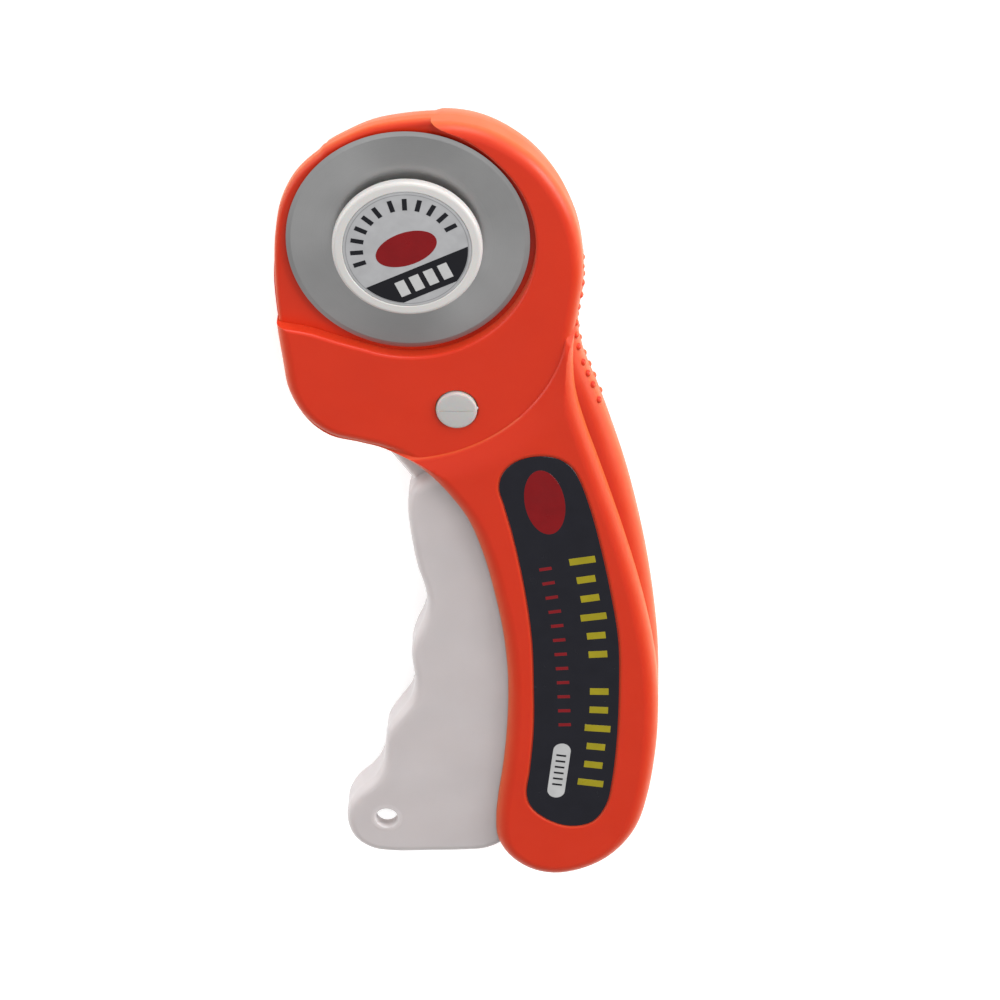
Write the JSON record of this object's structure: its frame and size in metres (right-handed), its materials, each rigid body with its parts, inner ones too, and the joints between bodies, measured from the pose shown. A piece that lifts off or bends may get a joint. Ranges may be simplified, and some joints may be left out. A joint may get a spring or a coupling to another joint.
{
  "type": "rotary cutter",
  "caption": "Squeeze-handle rotary cutter: a round blade on a sprung lever swings out past a guard plate, with a cross-button lock, clamp knob and hanging hole.",
  "frame": {"origin": "bottom centre of the bounding box, on the flat back that the cutter lies on", "axes": "+Z out of the blade's face, +Y towards the head, +X towards the palm side of the handle"},
  "size_m": [0.0728, 0.1652, 0.0168],
  "materials": {
    "housing_orange": "satin moulded",
    "lever_milky": "milky translucent",
    "knob_white": "smooth off-white",
    "blade_steel": "ground, with a bright edge",
    "plated_steel": "zinc plated",
    "spring_steel": "drawn wire and rolled strip",
    "label_black": "glossy printed film",
    "label_silver": "silver printed film"
  },
  "bodies": {
    "housing": {"front_housing": "housing_orange", "rear_housing": "housing_orange", "lever_pivot_pin": "plated_steel", "return_spring": "spring_steel", "handle_label": "label_black", "housing_screw_1": "plated_steel", "housing_screw_2": "plated_steel", "housing_screw_3": "plated_steel", "housing_screw_4": "plated_steel", "housing_screw_5": "plated_steel"},
    "lever": {"squeeze_lever": "lever_milky", "blade_bolt": "plated_steel", "blade_hub": "knob_white", "spring_washer": "spring_steel"},
    "blade": {"rotary_blade": "blade_steel"},
    "knob": {"blade_nut_knob": "knob_white", "nut_insert": "plated_steel", "knob_label": "label_silver"},
    "lock": {"lock_button": "knob_white", "lock_button_rear_cap": "knob_white"}
  },
  "joints": [
    {"name": "lever_squeeze", "type": "hinge", "parent": "housing", "child": "lever", "pos_m": [-0.02475, 0.02654, 0.01], "axis": [0, 0, 1], "range_deg": [0, 10], "stiffness_Nm_per_rad": 1.5, "springref_deg": -5.73, "deforming": ["return_spring"]},
    {"name": "blade_spin", "type": "hinge", "parent": "lever", "child": "blade", "pos_m": [-0.01125, 0.05804, 0.01325], "axis": [0, 0, 1], "continuous": true},
    {"name": "knob_turn", "type": "hinge", "parent": "lever", "child": "knob", "pos_m": [-0.01125, 0.05804, 0.0155], "axis": [0, 0, 1], "continuous": true},
    {"name": "lock_slide", "type": "slide", "parent": "housing", "child": "lock", "axis": [0, 0, 1], "range_m": [-0.0025, 0]}
  ]
}
